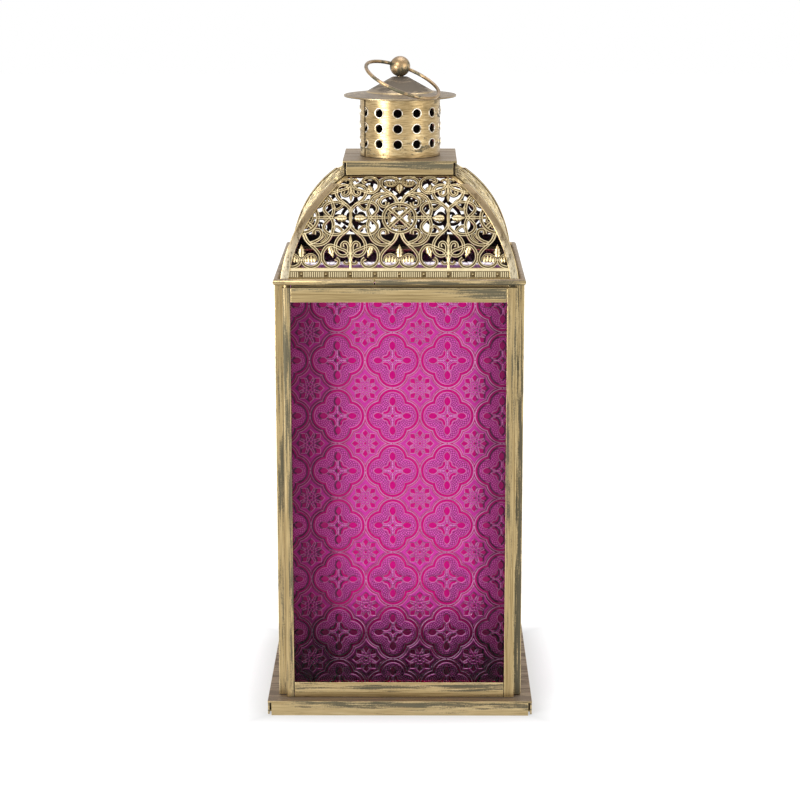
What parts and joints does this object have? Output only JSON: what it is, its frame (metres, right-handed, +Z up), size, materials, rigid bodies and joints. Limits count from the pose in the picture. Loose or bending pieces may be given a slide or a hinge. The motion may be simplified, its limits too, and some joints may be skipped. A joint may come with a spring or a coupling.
{
  "type": "candle lantern",
  "caption": "Square candle lantern of antique-brass sheet with patterned magenta glass, a hinged door, a domed filigree roof, a round perforated chimney and a ring handle.",
  "frame": {"origin": "centre of the base's footprint, on the surface that the lantern stands on", "axes": "+Z up, the door faces -Y, +X to the right when looking at the door"},
  "size_m": [0.135, 0.135, 0.3297],
  "materials": {
    "antique_brass": "antiqued, brushed with dark grey-green patina, bright on worn edges",
    "magenta_glass": "pressed relief on the outer face, smooth inside"
  },
  "bodies": {
    "lantern": {"base_tray": "antique_brass", "post_front_left": "antique_brass", "post_front_right": "antique_brass", "post_back_right": "antique_brass", "post_back_left": "antique_brass", "lower_rail_front": "antique_brass", "lower_rail_right": "antique_brass", "lower_rail_back": "antique_brass", "lower_rail_left": "antique_brass", "upper_rail_front": "antique_brass", "upper_rail_right": "antique_brass", "upper_rail_back": "antique_brass", "upper_rail_left": "antique_brass", "pane_left": "magenta_glass", "pane_right": "magenta_glass", "pane_back": "magenta_glass", "glazing_angle_front_left": "antique_brass", "glazing_angle_front_right": "antique_brass", "glazing_angle_back_right": "antique_brass", "glazing_angle_back_left": "antique_brass", "roof_rim": "antique_brass", "roof_panel_front": "antique_brass", "roof_panel_right": "antique_brass", "roof_panel_back": "antique_brass", "roof_panel_left": "antique_brass", "roof_rib_front_left": "antique_brass", "roof_rib_front_right": "antique_brass", "roof_rib_back_right": "antique_brass", "roof_rib_back_left": "antique_brass", "top_plate": "antique_brass", "chimney": "antique_brass", "cap": "antique_brass", "finial_ball": "antique_brass"},
    "door": {"door_stile_hinge": "antique_brass", "door_stile_free": "antique_brass", "door_rail_top": "antique_brass", "door_rail_bottom": "antique_brass", "door_pane": "magenta_glass", "door_pin_bottom": "antique_brass", "door_pin_top": "antique_brass"},
    "ring": {"ring_handle": "antique_brass"}
  },
  "joints": [
    {"name": "door_swing", "type": "hinge", "parent": "lantern", "child": "door", "pos_m": [-0.0565, -0.0597, 0.11415], "axis": [0, 0, -1], "range_deg": [0, 170]},
    {"name": "ring_swing", "type": "hinge", "parent": "lantern", "child": "ring", "pos_m": [0, 0, 0.32448], "axis": [-0.9312, -0.1642, 0.3256], "range_deg": [0, 213]}
  ]
}
